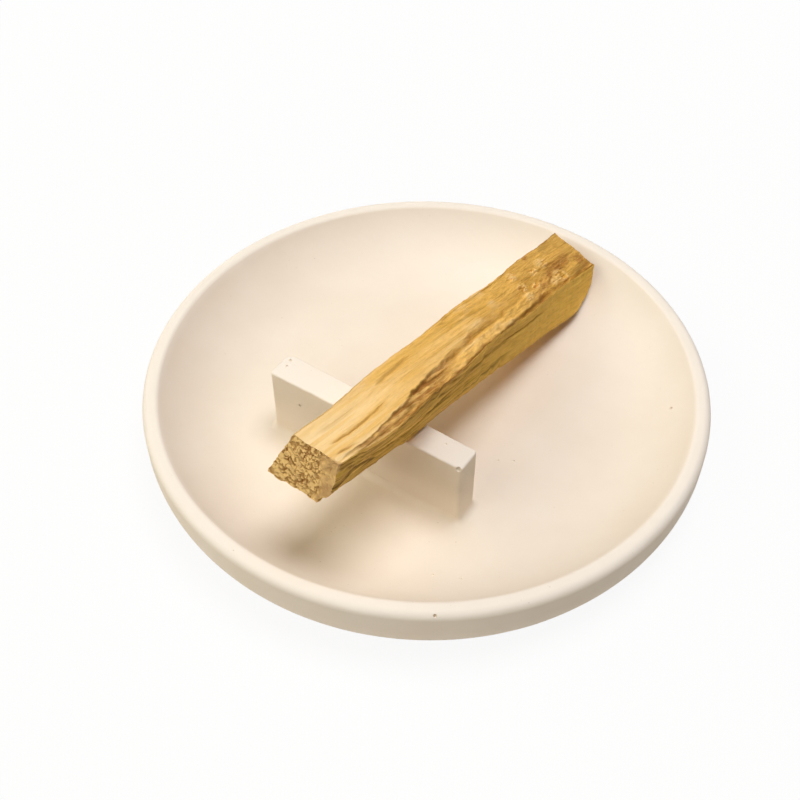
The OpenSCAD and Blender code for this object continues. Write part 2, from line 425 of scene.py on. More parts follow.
# Finer pinholes inside and outside: how many, where, and their radii in mm
PIT_SEED = 11
INNER_PITS, INNER_REACH, INNER_RADII = 26, (14, 55), (0.1, 0.19)
OUTER_PITS, OUTER_HEIGHT, OUTER_RADII = 22, (3.5, 13.5), (0.12, 0.3)
# How far the middle of a fine pinhole stands off the surface, in radii
PIT_LIFT = 0.3


def arc(middle, radius, start, end, steps):
    """Points of an arc in degrees, without its first point."""
    angles = np.radians(np.linspace(start, end, steps + 1)[1:])
    return [(middle[0] + radius*math.cos(a), middle[1] + radius*math.sin(a)) for a in angles]


def line(start, end, steps):
    """Points of a line, without its first point."""
    return [tuple(p) for p in np.linspace(start, end, steps + 1)[1:]]


def dish_profile():
    """Inside of the dish from its middle to the crown, and outside from there to its base."""
    cove_run = DISH_R - RIM_W - FLOOR_R
    cove_r = (cove_run**2 + HOLLOW_DEPTH**2)/(2*HOLLOW_DEPTH)
    cove_middle = (FLOOR_R, FLOOR_Z + cove_r)
    lip_down = cove_middle[1] - DISH_H + RIM_INNER_R
    lip_x = FLOOR_R + math.sqrt((cove_r + RIM_INNER_R)**2 - lip_down**2)
    lip_angle = math.degrees(math.atan2(-lip_down, lip_x - FLOOR_R))
    outer_x = DISH_R - RIM_OUTER_R
    floor, cove, lip, crown, edge, wall, under, base = DISH_STEPS
    inside = line((0, FLOOR_Z), (FLOOR_R, FLOOR_Z), floor)
    inside += arc(cove_middle, cove_r, -90, lip_angle, cove)
    inside += arc((lip_x, DISH_H - RIM_INNER_R), RIM_INNER_R, 180 + lip_angle, 90, lip)
    inside += line((lip_x, DISH_H), (outer_x, DISH_H), crown)
    outside = arc((outer_x, DISH_H - RIM_OUTER_R), RIM_OUTER_R, 90, 0, edge)
    outside += line((DISH_R, DISH_H - RIM_OUTER_R), (DISH_R, UNDER_R), wall)
    outside += arc((DISH_R - UNDER_R, UNDER_R), UNDER_R, 0, -90, under)
    outside += line((DISH_R - UNDER_R, 0), (BASE_INNER, 0), base)
    return np.array(inside), np.array(outside)


def dish_pits(inside, outside):
    """Pinholes that show in the photograph, and a scatter of finer ones."""
    pits = [RIM_PIT]
    for x, y, radius in SEEN_PITS:
        height = np.interp(math.hypot(x, y), inside[:, 0], inside[:, 1])
        pits.append(((x, y, height), radius))
    draws = np.random.default_rng(PIT_SEED)
    fine = [(True, INNER_REACH, INNER_RADII)]*INNER_PITS + [(False, OUTER_HEIGHT, OUTER_RADII)]*OUTER_PITS
    for is_inside, span, radii in fine:
        place, angle, radius = (draws.uniform(*ends) for ends in (span, (0, 2*math.pi), radii))
        reach = height = place
        if is_inside:
            height = np.interp(place, inside[:, 0], inside[:, 1]) + PIT_LIFT*radius
        else:
            reach = np.interp(-place, -outside[:, 1], outside[:, 0]) + PIT_LIFT*radius
        pits.append(((reach*math.cos(angle), reach*math.sin(angle), height), radius))
    return pits


def build_dish(material):
    """Lathe of the profile, a little uneven as a hand-cast dish is."""
    inside, outside = dish_profile()
    profile = np.concatenate([inside, outside])
    turn = np.linspace(0, 2*math.pi, DISH_AROUND, endpoint=False)
    reach, theta = np.meshgrid(profile[:, 0], turn, indexing="ij")
    height = np.repeat(profile[:, 1:2], DISH_AROUND, axis=1)
    near_rim = ease(FLOOR_R, DISH_R - RIM_W, reach)*ease(0, UNDER_R, height)
    draw = RIM_DRAW*(1 - sum(share*np.cos(n*theta + phase) for n, share, phase in DRAW_WAVES))
    sink = RIM_SINK*sum((share*np.sin(n*theta + phase) for n, share, phase in SINK_WAVES), 1)
    east, north = reach*np.cos(theta), reach*np.sin(theta)
    lumps = FLOOR_LUMPS*layered_noise(east/LUMP_SIZE, north/LUMP_SIZE, height/LUMP_SIZE, LUMP_SEED)
    lumps *= ease(FLOOR_R - FLOOR_MARGIN, FLOOR_R + LUMP_FADE, reach)*ease(*LUMP_HEIGHT, height)
    lumps *= height < DISH_H - LUMP_CLEAR
    reach = reach - near_rim*draw
    height = height - near_rim*sink + lumps
    points = np.stack([reach*np.cos(theta), reach*np.sin(theta), height], -1).reshape(-1, 3)
    points = np.concatenate([points, [[0, 0, FLOOR_Z], [0, 0, 0]]])
    piece = new_piece("dish_body", points, capped_faces(len(profile), DISH_AROUND))
    sink_pits(piece, dish_pits(inside, outside))
    dress(piece, material, "holder", "dish")


# Upright rest and its foot bead

REST_EDGE = 0.4
REST_SUNK = 0.3
REST_RISERS = 40
# Lumps of its faces in mm, mostly inwards, so that the rest stays inside its solid
REST_LUMPS, REST_LUMP_SIZE, REST_LUMP_IN, REST_SEED = 0.05, 6, 0.8, 21
STRAIGHT_STEPS = (110, 12, 110, 12)
CORNER_STEPS = 8
EDGE_STEPS = 5
BEAD_STEPS = 14
BEAD_SUNK = 0.2
BEAD_FADE = 0.006
FRONT, BACK = -1, 1
# Pits in its top: x, y, depth of their middle and radius in mm
TOP_PITS = ((-21.9, -18.5, 0.1, 0.33), (-21.5, -20.2, 0.05, 0.24), (17.3, -19.4, 0, 0.26))
# Pits in its front: x, z and radius. The last one is the chipped corner
FRONT_PITS = ((-15.9, 16.9, 0.36), (22.6, REST_TOP - 0.4, 0.62))
FRONT_PIT_IN = 0.1
# Pits in its back: x, distance behind its middle plane, z and radius
BACK_PITS = ((9.0, 3.2, 14.0, 0.24), (-9.5, 3.35, 17.0, 0.2))


def rest_face(x, side):
    """Y of the rest's front or back face, at a place along it."""
    return -REST_OFFSET + side*between(REST_T_LEFT, REST_T_RIGHT, x/REST_LEN + 0.5)/2


def foot_outline(grow):
    """Plan of the rest's foot, grown outwards, in even short steps."""
    loop = []
    ends = ((-REST_LEN/2, FRONT), (REST_LEN/2, FRONT), (REST_LEN/2, BACK), (-REST_LEN/2, BACK))
    corners = [np.array((x, rest_face(x, side))) for x, side in ends]
    for i, here in enumerate(corners):
        before, after = here - corners[i - 1], corners[(i + 1) % 4] - here
        start = math.atan2(before[1], before[0]) - math.pi/2
        turn = (math.atan2(after[1], after[0]) - math.pi/2 - start) % (2*math.pi)
        half = start + turn/2
        inset = CORNER_RADII[i]/math.cos(turn/2)
        middle = here - inset*np.array([math.cos(half), math.sin(half)])
        for a in start + turn*np.arange(CORNER_STEPS + 1)/CORNER_STEPS:
            loop.append(middle + (CORNER_RADII[i] + grow)*np.array([math.cos(a), math.sin(a)]))
    evened = []
    for k, (p, q) in enumerate(zip(loop, loop[1:] + loop[:1])):
        straight = k % (CORNER_STEPS + 1) == CORNER_STEPS
        count = STRAIGHT_STEPS[k // (CORNER_STEPS + 1)] if straight else 1
        evened += [p + (q - p)*j/count for j in range(count)]
    return np.array(evened)


def foot_rings(rows):
    """Rings round the foot, each grown outwards at a height."""
    loops = [(foot_outline(grow), height) for grow, height in rows]
    return np.array([np.column_stack([loop, np.full(len(loop), height)]) for loop, height in loops])


def rest_pits():
    """Pits of the rest and its chipped corner."""
    pits = [((x, y, REST_TOP - under), radius) for x, y, under, radius in TOP_PITS]
    pits += [((x, rest_face(x, FRONT) + FRONT_PIT_IN, z), radius) for x, z, radius in FRONT_PITS]
    pits += [((x, -REST_OFFSET + behind, z), radius) for x, behind, z, radius in BACK_PITS]
    return pits


def build_rest(material):
    """Upright slab with softened edges, faint lumps, pits and a chip."""
    rows = [(0.0, z) for z in np.linspace(FLOOR_Z - REST_SUNK, REST_TOP - REST_EDGE, REST_RISERS)]
    for a in np.radians(np.linspace(0, 90, EDGE_STEPS + 1)[1:]):
        rows.append((-REST_EDGE*(1 - math.cos(a)), REST_TOP - REST_EDGE*(1 - math.sin(a))))
    points = foot_rings(rows)
    outward = foot_outline(0.5) - foot_outline(-0.5)
    lumps = layered_noise(*np.moveaxis(points/REST_LUMP_SIZE, -1, 0), REST_SEED)
    points[..., :2] += (REST_LUMPS*(lumps - REST_LUMP_IN))[..., None]*outward
    rings, count = points.shape[:2]
    faces = ring_faces(rings, count)
    faces.append(list(range(count)))
    faces.append(list(range((rings - 1)*count, rings*count)))
    piece = new_piece("stick_rest_slab", points.reshape(-1, 3), faces)
    sink_pits(piece, rest_pits())
    dress(piece, material, "holder", "stick_rest")


def build_bead(material):
    """Cove round the foot, fading into the floor and the rest at its edges."""
    section = [(-BEAD_SUNK, -BEAD_SUNK), (BEAD_REACH, -BEAD_SUNK)]
    for a in np.radians(np.linspace(90, 0, BEAD_STEPS + 1)):
        section.append([BEAD_REACH*(1 - part) - BEAD_FADE for part in (math.cos(a), math.sin(a))])
    section.append((-BEAD_SUNK, BEAD_REACH))
    points = foot_rings([(out, FLOOR_Z + up) for out, up in section])
    rings, count = points.shape[:2]
    faces = np.array(ring_faces(rings + 1, count)) % (rings*count)
    piece = new_piece("foot_bead_cove", points.reshape(-1, 3), faces.tolist())
    dress(piece, material, "holder", "foot_bead")


# Riven stick: sizes in mm, places along it from its near end, shares across its top from the left

ALONG_STEPS = 480
TOP_STEPS, SIDE_STEPS, UNDER_STEPS = 112, 84, 48
AROUND_STEPS = TOP_STEPS + 2*SIDE_STEPS + UNDER_STEPS
CAP_STEPS = 44
# Rounding of the long edges in steps, and their nicks: depth, length and seeds
EDGE_SOFT = 1.5
EDGE_NICKS, NICK_LEN, NICK_SEEDS = 0.16, 2.6, (101, 111, 121)
# How far the left, right and low right edges stand out, along the stick
EDGE_ALONG = (0, 12, 24, 36, 48, 60, 72, 84, 94, 101)
EDGES_OUT = (
    (0.3, 0.05, 0.5, 1.2, 1.1, 1.5, 0.6, 0.5, 0.8, 0.9),
    (-0.7, 0, 0, -0.2, -0.5, -0.9, -1.0, -0.9, -0.5, -0.1),
    (-1.1, -0.6, 0.5, 0, 0.2, -0.6, -0.6, -0.7, -0.2, -1.0),
)

# The split: where its lip and its ridge run
LIP_ALONG = (0, 8, 20, 29, 39, 50, 61, 68, 72, 78, 84, 92, 101)
LIP_SHARE = (0.93, 0.86, 0.76, 0.71, 0.63, 0.55, 0.52, 0.50, 0.42, 0.34, 0.39, 0.44, 0.6)
RIDGE_ALONG = (20, 33, 39, 46, 51, 58, 66, 73, 82)
RIDGE_SHARE = (0.91, 0.88, 0.865, 0.83, 0.83, 0.855, 0.80, 0.765, 0.73)
# Its depth, and what is lost past the middle, at the far end and on the ridge
SPLIT_DEPTH, MIDDLE_LOSS, FAR_LOSS, RIDGE_RISE = 1.05, 0.35, 0.6, 0.85
SHOULDER_DROP, SHOULDER_LOSS = 0.5, 0.5
# Widths of its bank and of its colour: at the near end, and where widest
BANK_NEAR, BANK_WIDE, BESIDE_NEAR, BESIDE_WIDE = 0.16, 0.36, 0.1, 0.4
# The lip's dark line, which is painted shade along the split's edge as well as the wood's dark edge, then
# the ridge's half width and flat share, and the shoulder past its crest
LIP_LINE, LIP_LINE_AT = (0.03, 0.006), 0.01
RIDGE_HALF, RIDGE_FLAT, SHOULDER = 0.17, 0.35, (0.08, 0.17)
# Unevenness of lip, ridge, knob and cracks: share across, length and seed
LIP_WAVER, RIDGE_WAVER = (0.02, 4, 81), (0.02, 4, 83)
KNOB_WAVER, CRACK_WAVER = (0.03, 2, 57), (0.01, 3, 85)
LIP_JAG, JAG_LEN, JAG_WIDTH, JAG_SEED = 0.02, 2.5, 1.2, 82
# Bumps in the split: width, length, seed, swing in its depth and on the ridge
BUMP_WIDTH, BUMP_LEN, BUMP_SEED, BUMP_SWING, RIDGE_BUMPS = 1.8, 3.4, 87, 0.4, 0.3

# The torn knob: where its brown band runs, and its half width
KNOB_ALONG = (74, 78, 84, 89, 94, 98)
KNOB_SHARE = (0.88, 0.80, 0.68, 0.58, 0.53, 0.52)
KNOB_HALF = 0.24
# Tufts of torn fibre, then brown stains: the place along, the share across and the radius
TUFTS = (
    (89.2, 0.74, 2.0), (89.8, 0.86, 1.3), (86.0, 0.79, 1.2), (87.4, 0.33, 1.8), (83.1, 0.39, 1.2),
    (76.1, 0.50, 1.5), (74.9, 0.72, 1.6), (76.6, 0.19, 1.6), (80.5, 0.62, 1.2),
)
STAINS = (
    (90.6, 0.56, 1.9), (82.4, 0.73, 1.4), (78.5, 0.86, 1.4), (98.8, 0.72, 1.9), (86.7, 0.59, 1.3),
    (84.8, 0.04, 1.1),
)
# How much longer than wide they are, and the full share of their radius
SPOT_LONG, SPOT_FULL = 1.5, 0.3

# Cracks of a face: points along and across it, then width, depth and darkness
CRACKS = {
    "top": (
        ((21, 28, 37), (0.24, 0.215, 0.20), 0.6, 0.25, 0.5),
        ((3, 17), (0.28, 0.25), 0.9, 0.10, 0.15),
        ((2, 5, 12, 22), (0.60, 0.585, 0.565, 0.53), 0.34, 0.22, 0.65),
        ((0.5, 9), (0.80, 0.83), 0.35, 0.22, 0.6),
        ((75, 84, 95), (0.40, 0.43, 0.46), 0.4, 0.3, 0.7),
        ((68, 76, 81, 86, 92, 101), (0.92, 0.95, 0.91, 0.94, 0.97, 0.98), 0.8, 0.35, 0.75),
    ),
    "right": (
        ((1.5, 10, 21, 29, 42), (0.22, 0.45, 0.70, 0.64, 0.46), 0.5, 0.3, 0.8),
        ((30, 40, 49, 65, 80), (0.03, 0.2, 0.33, 0.29, 0.3), 0.6, 0.25, 0.6),
    ),
}
# How a crack opens and closes, its least width, and where its stain ends and is full
CRACK_OPENS, CRACK_CLOSES, HAIRLINE, CRACK_STAIN = 3, 5, 0.01, (0.9, 0.2)

# Stretches of the stick: where each is nought and where it is full, at one end or at both
STRETCHES = {
    "lip part": (1, 5, 52, 34), "dark lip": (44, 26), "wide bank": (30, 55), "fallen part": (8, 40),
    "past middle": (45, 65), "far end": (80, 99), "ridge part": (33, 41, 88, 78), "shoulder part": (12, 28),
    "edged": (24, 34, 84, 72), "channel": (14, 34, 84, 74), "near channel": (2, 8, 44, 30),
    "gold channel": (36, 46), "gritty": (2, 8, 46, 36), "brown": (3, 12, 46, 30),
    "lined split": (48, 30), "knob part": (74, 79, 99, 94), "lumpy": (35, 70), "cloudy": (25, 55),
    "grainy": (25, 65), "open": (20, 65), "far part": (60, 88), "golden from": (6, 28),
    "golden to": (80, 55), "gold streaks": (70, 40), "lined flank": (75, 45), "deep flank": (60, 35),
    "pale flank": (65, 40), "dark flank": (8, 30, 90, 55), "near flank": (42, 8), "near part": (45, 15),
    "bulging": (10, 0), "frayed": (4, 0),
}
# Parts of a face across it: the face, and the shares where each begins and is full
PARTS = {
    "left line": ("top", 0.035, 0.01), "left edge": ("top", 0.05, 0), "right corner": ("top", 0.6, 0.95),
    "flank edge": ("right", 0.16, 0.02), "upper flank": ("right", 0.6, 0.05),
    "lower flank": ("right", 0.4, 0.8),
}
# Noises of the riven faces: size across the grain, size along it and seed
GRAIN_NOISES = {
    "coarse": (2.2, 40, 31), "lumps": (2.4, 5, 33), "fibre": (0.7, 14, 41), "streak": (0.6, 24, 45),
    "fleck": (0.5, 1.9, 47), "ribbon": (1.3, 30, 49), "shred": (0.8, 1.7, 51), "fray": (1.2, 2, 67),
}
# Patches: their noise, its values where they begin and are full, and what shows outside them
PATCHES = {
    "patchy": ("fibre", -0.6, 0.5, 0), "partly patchy": ("fibre", -0.6, 0.5, 0.3),
    "faintly patchy": ("fibre", -0.6, 0.5, 0.4), "light flecks": ("fleck", 0.1, 0.8, 0),
    "ridge flecks": ("fleck", 0.1, 0.8, 0.375), "dark flecks": ("fleck", -0.1, -0.8, 0),
    "dark grit": ("fleck", 0.4, -0.5, 0), "stain flecks": ("fleck", -0.9, 0.1, 0),
    "brown streaks": ("streak", -0.5, 0.5, 0), "near streaks": ("streak", -0.3, 0.5, 0.4375),
    "flank streaks": ("streak", 0, 0.6, 0), "top streaks": ("streak", 0.05, 0.7, 0),
    "knob clouds": ("coarse", -0.9, 0.2, 0), "ribbons": ("ribbon", 0.1, 0.8, 0),
    "fluffy shreds": ("shred", 0.35, 0.7, 0), "palest shreds": ("shred", 0.45, 0.8, 0),
}
# Lines along the grain: seed, spacing, length and thinness, and what breaks them
GRAIN_LINES = {
    "bold lines": (91, 1.5, 34, 0.10), "fine lines": (95, 0.7, 20, 0.16),
    "pale lines": (97, 0.9, 26, 0.22), "deep lines": (99, 1.0, 22, 0.2),
}
LINE_BREAKS = (-0.2, 0.4)
# Red along the split's edge, the far corner, and the bulge down the right side
RED_ALONG, RED_SHARE = (14, 24, 40, 52), (0, 0.9, 0.9, 0)
FAR_CORNER, BULGE_DOWN = (99, 5), (0.55, 0.5)

# Sums of fields: a row is a weight and the fields that it is multiplied with
SUMS = {
    "grit": ((1, "beside", "gritty"),),
    "lined top": (
        (0.15,), (0.3, "grainy"), (0.35, "fallen"), (-0.25, "ridge"), (0.6, "beside", "lined split"),
    ),
    "lined side": ((0.2,), (0.85, "lined flank")),
    "rough top": ((0.12,), (0.4, "open"), (0.3, "fallen"), (0.3, "ridge"), (0.4, "knob")),
    "fray share": ((0.3,), (0.7, "lower flank"), (0.9, "under")),
    "plank": ((1, "top"), (-1, "beside")),
    "off ridge": ((1,), (-1, "ridge")),
    "shoulder edge": ((4, "shoulder"), (-4, "shoulder", "shoulder")),
    "cut lines": ((1, "right", "deep flank", "deep lines"), (1, "grit", "deep lines")),
    "dark lines": ((0.8, "bold lines"), (0.5, "fine lines")),
    "gold share": ((0.3,), (0.7, "golden from")),
    "cloud share": ((0.3,), (0.7, "cloudy")),
    "flank share": ((0.2,), (0.8, "lined flank")),
}
# What the other faces have, and what the knob takes from the flecks
LINED_ELSEWHERE, ROUGH_ELSEWHERE, FLANK_ELSEWHERE, KNOB_LOSS = 0.6, 0.5, 0.3, 0.6
# Relief in mm, a sum in the same way. The underside has a share of it, and only inwards
RELIEF = (
    (-0.12,), (0.12, "coarse"), (0.03, "fibre"), (0.06, "fibre", "lined"),
    (0.25, "top", "lumps", "lumpy"), (0.09, "fleck", "rough"), (0.14, "fleck", "grit"),
    (-0.2, "bold lines", "lined"), (-0.1, "fine lines", "lined"), (-0.2, "cut lines"),
    (-1, "split"), (-1, "top cracks"), (-1, "right cracks"),
    (0.7, "tufts", "shred"), (-0.25, "tufts"), (-0.35, "knob", "shred"),
    (1.5, "right", "bulge", "bulging"),
)
FRAY, UNDER_RELIEF = 0.22, 0.2
# How golden the wood is along the stick, 0 pale and 1 ochre, and what is added
TONE_ALONG = (0, 8, 32, 65, 80, 96)
TONE_TOP = (0, 0.04, 0.36, 0.46, 0.65, 0.95)
TONE = (
    (-0.05, "ridge"), (-0.3, "lumps", "lumpy"), (0.15, "coarse", "cloud share"),
    (0.10, "top", "across", "near part"),
)
# Marks: each is the strongest of its rows, which are given in the same way
MARKS = {
    "gold": (
        (0.6, "plank", "ribbons", "gold share", "golden to"), (0.8, "top stain"),
        (0.75, "fallen", "off ridge", "gold channel"), (0.45, "top", "top streaks", "gold streaks"),
    ),
    "olive": (
        # Olive in the split's channel and along its lip: the wood's colour there, and painted shade in the
        # split
        (0.85, "beside", "off ridge", "channel", "faintly patchy"), (1, "top dark"), (1, "right dark"),
        (0.55, "beside", "near channel", "partly patchy"), (0.9, "shoulder", "faintly patchy"),
        (0.7, "lip shade line", "patchy"), (0.8, "grit", "dark grit"), (0.45, "rough", "dark flecks"),
        (0.65, "upper flank", "dark flank", "patchy"), (0.8, "right", "near flank", "near streaks"),
        (0.5, "right", "flank share", "flank streaks"), (0.32, "top", "grainy", "top streaks"),
        (0.6, "left line", "patchy"),
    ),
    "rust": (
        (1, "shoulder", "red part", "patchy"), (0.7, "flank edge", "red part", "patchy"),
        (0.75, "beside", "brown", "brown streaks"), (0.6, "right corner", "far corner"),
        (0.5, "left edge", "far part", "patchy"), (0.7, "knob", "knob clouds"),
        (0.9, "stains", "stain flecks"),
    ),
    "fluff": (
        (1, "tufts", "fluffy shreds"), (0.8, "ridge", "ridge flecks"), (0.35, "flecked", "light flecks"),
        (0.5, "grit", "light flecks"), (0.85, "right", "pale flank", "pale lines"),
    ),
    "tuft": ((0.45, "tufts", "palest shreds"),),
    "lines": (
        (1, "lined", "dark lines"), (0.8, "cut lines"), (0.75, "shoulder edge", "edged"),
        # The lip's dark line: painted shade along the split's edge, with the wood's dark edge
        (0.6, "lip shade line", "dark lip", "patchy"),
    ),
}

# Sawn ends: seeds, then the cut's reach into the skin, its depth and its swing
NEAR_SEED, FAR_SEED = 61, 71
CUT_REACH, CUT_DEPTH, CUT_SWING = 1.5, 0.14, 0.12
# Noises of an end: size, slice, what is added to the end's seed, and layers
END_NOISES = {
    "cut": (1.5, 0.5, 0, 3), "bold": (1.4, 0.5, 1, 3), "dents": (1.4, 9.5, 3, 2), "fine": (0.9, 2.5, 4, 2),
    "patch": (1.9, 4.5, 6, 2), "holes": (0.7, 3.5, 8, 2), "clouds": (1.6, 6.5, 77, 3),
    "chips": (1.3, 0.5, 78, 3), "border": (1.5, 8.5, 79, 3),
}
# Where squiggles, holes and dents begin and are full, and their strength
BOLD_SQUIGGLES, BOLD_PATCH, SQUIGGLE_SHARE = (0.24, 0.06), (-1.1, -0.3), 0.85
FINE_SQUIGGLES, FINE_PATCH, FINE_SHARE = (0.18, 0.04), (0.9, 0), 0.8
OPEN_HOLES, DENTED = (0.5, 0.75), (-0.1, 0.7)
PORE_DEPTH, DENT_DEPTH, PLAIN_EDGE = 0.28, 0.4, 0.93
# The smooth right part of an end: its border, how that sways and blends, and its colour
SMOOTH_FROM, SMOOTH_SWAY, SMOOTH_BLEND = 2.2, 1.1, 1.2
SMOOTH_TAN, CLOUD_TAN = 0.7, 0.5
# Open grain of each end, in its left part and in its smooth part
NEAR_GRAIN, FAR_GRAIN = (1, 0.3), (0.7, 0.7)
# The chipped near edge: its size, shares of that where it ends and is full, and its span in X
CHIP_SIZE, CHIP_END, CHIP_FULL, CHIP_FROM = 0.5, 1.1, 0.6, (1, 4)


def wander(along, phase):
    """Slow wander of a riven face, each with its own phase."""
    turn = 2*math.pi*(along - OVERHANG)/STICK_LEN
    p = math.radians(phase)
    return WANDER*(np.sin(turn/WANDER_LONG + p) + np.sin(turn/WANDER_SHORT + 2*p)/2)


def waver(along, swing, length, seed):
    """Unevenness along the stick alone."""
    return swing*layered_noise(along/length, 0.5, 0.5, seed)


def stick_corners(along):
    """Corners of the sections: top left, top right, low right, low left."""
    share = along/STICK_LEN
    lean = between(NEAR_LEAN, FAR_LEAN, share)/2
    tilt = between(NEAR_TILT, FAR_TILT, share)
    top = between(NEAR_T, FAR_T, share) + wander(along, TOP_PHASE)
    heel = np.maximum(0, (along - STICK_LEN + HEEL_LEN)/HEEL_LEN)
    low = HEEL_RISE*heel**2 - NEAR_DROP*ease(OVERHANG - REST_T_LEFT, 0, along)
    left_out, right_out, low_out = (np.interp(along, EDGE_ALONG, out) for out in EDGES_OUT)
    nicks = [waver(along, EDGE_NICKS, NICK_LEN, seed) for seed in NICK_SEEDS]
    left = lean - STICK_W/2 + wander(along, LEFT_PHASE) - left_out + nicks[0]
    right = lean + STICK_W/2 + wander(along, RIGHT_PHASE) + right_out + nicks[1]
    half_low = (STICK_W + UNDER_EXTRA)/2
    right_low = half_low - lean + wander(along, LOW_PHASE) + low_out + nicks[2]
    corners = ((left, top + tilt/2), (right, top - tilt/2), (right_low, low), (-lean - half_low, low))
    return [np.stack(corner, -1) for corner in corners]


def softened(loops, sigma):
    """Closed loops smoothed along themselves, with rounded corners."""
    reach = int(3*sigma) + 1
    offsets = np.arange(-reach, reach + 1)
    weights = np.exp(-(offsets/sigma)**2/2)
    weights /= weights.sum()
    return sum(w*np.roll(loops, k, axis=1) for k, w in zip(offsets, weights))


def stick_loops(along):
    """Plain sections as closed loops, and the outward way at their points."""
    corners = stick_corners(along)
    sides = zip(corners, corners[1:] + corners[:1], (TOP_STEPS, SIDE_STEPS, UNDER_STEPS, SIDE_STEPS))
    loops = [a[:, None] + (b - a)[:, None]*(np.arange(n)/n)[None, :, None] for a, b, n in sides]
    loops = softened(np.concatenate(loops, axis=1), EDGE_SOFT)
    ahead = np.roll(loops, -1, axis=1) - np.roll(loops, 1, axis=1)
    outward = np.stack([-ahead[..., 1], ahead[..., 0]], -1)
    outward /= np.linalg.norm(outward, axis=-1, keepdims=True)
    return loops, outward


def split_field(f):
    """The split on the top: its depth in mm, and shares of its parts, with the lip's line of painted shade.
    Beside is what is not plank.
    """
    along, share = f["along"], f["across"]
    jag = layered_noise(along/JAG_LEN, share*STICK_W/JAG_WIDTH, 0.5, JAG_SEED)
    lip = np.interp(along, LIP_ALONG, LIP_SHARE) + waver(along, *LIP_WAVER) + LIP_JAG*jag
    crest = np.interp(along, RIDGE_ALONG, RIDGE_SHARE) + waver(along, *RIDGE_WAVER)
    across = (share - lip)/(1 - lip)
    wide = f["wide bank"]
    far_end = 1 - FAR_LOSS*f["far end"]
    fallen = ease(0, between(BANK_NEAR, BANK_WIDE, wide), across)*f["fallen part"]
    fallen *= (1 - MIDDLE_LOSS*f["past middle"])*far_end
    ridge = ease(RIDGE_HALF, RIDGE_FLAT*RIDGE_HALF, np.abs(share - crest))*f["ridge part"]
    shoulder = ease(crest + SHOULDER[0], crest + SHOULDER[1], share)*f["shoulder part"]*far_end
    bumps = layered_noise(share*STICK_W/BUMP_WIDTH, along/BUMP_LEN, 0.5, BUMP_SEED)
    depth = SPLIT_DEPTH*fallen*(1 + BUMP_SWING*bumps)*(1 - RIDGE_RISE*ridge)
    depth += SHOULDER_DROP*shoulder*(1 - SHOULDER_LOSS*fallen) + RIDGE_BUMPS*ridge*bumps
    # Dark line along the lip: painted shade at the split's edge, with the wood's dark edge
    lip_shade_line = ease(*LIP_LINE, np.abs(share - lip - LIP_LINE_AT))*f["lip part"]
    beside = ease(0, between(BESIDE_NEAR, BESIDE_WIDE, wide), across)
    return {
        "split": depth, "lip shade line": lip_shade_line, "fallen": fallen, "ridge": ridge, "shoulder": shoulder,
        "beside": beside,
    }


def spots(along, share, places):
    """Soft spots on the top, longer along the grain: 1 inside, 0 outside."""
    shown = 0
    for place, across, radius in places:
        away = np.hypot((along - place)/SPOT_LONG, (share - across)*STICK_W)
        shown = np.maximum(shown, ease(radius, SPOT_FULL*radius, away))
    return shown


def torn_field(f):
    """The torn knob at the far end: its brown band, the tufts round it and its stains."""
    along, share = f["along"], f["across"]
    middle = np.interp(along, KNOB_ALONG, KNOB_SHARE) + waver(along, *KNOB_WAVER)
    return {
        "knob": bump(middle, KNOB_HALF, share)*f["knob part"],
        "tufts": spots(along, share, TUFTS),
        "stains": spots(along, share, STAINS),
    }


def crack_field(face, f):
    """Cracks on a face: their depth in mm, their darkness and their stain."""
    along, across = f["along"], f["across"]
    depth = dark = stain = 0
    jag = waver(along, *CRACK_WAVER)
    for places, shares, width, deep, shade in CRACKS[face]:
        first, last = places[0], places[-1]
        aside = np.abs(across - np.interp(along, places, shares) - jag)*STICK_W
        taper = ease(first, first + CRACK_OPENS, along)*ease(last, last - CRACK_CLOSES, along)
        cut = ease(width*taper + HAIRLINE, 0, aside)*taper
        depth = np.maximum(depth, deep*cut)
        dark = np.maximum(dark, shade*cut)
        stain = np.maximum(stain, shade*ease(*CRACK_STAIN, aside)*taper)
    return {f"{face} cracks": depth, f"{face} dark": dark, f"{face} stain": stain}


def grain_lines(x, along, z, seed, spacing, length, thin):
    """Broken lines along the grain: 1 on a line, 0 off it."""
    gap = np.abs(solid_noise(x/spacing, along/length, z/spacing, seed))
    broken = solid_noise(x/spacing/2, 2*along/length, z/spacing/2, seed + 1)
    return ease(thin, 0, gap)*ease(*LINE_BREAKS, broken)


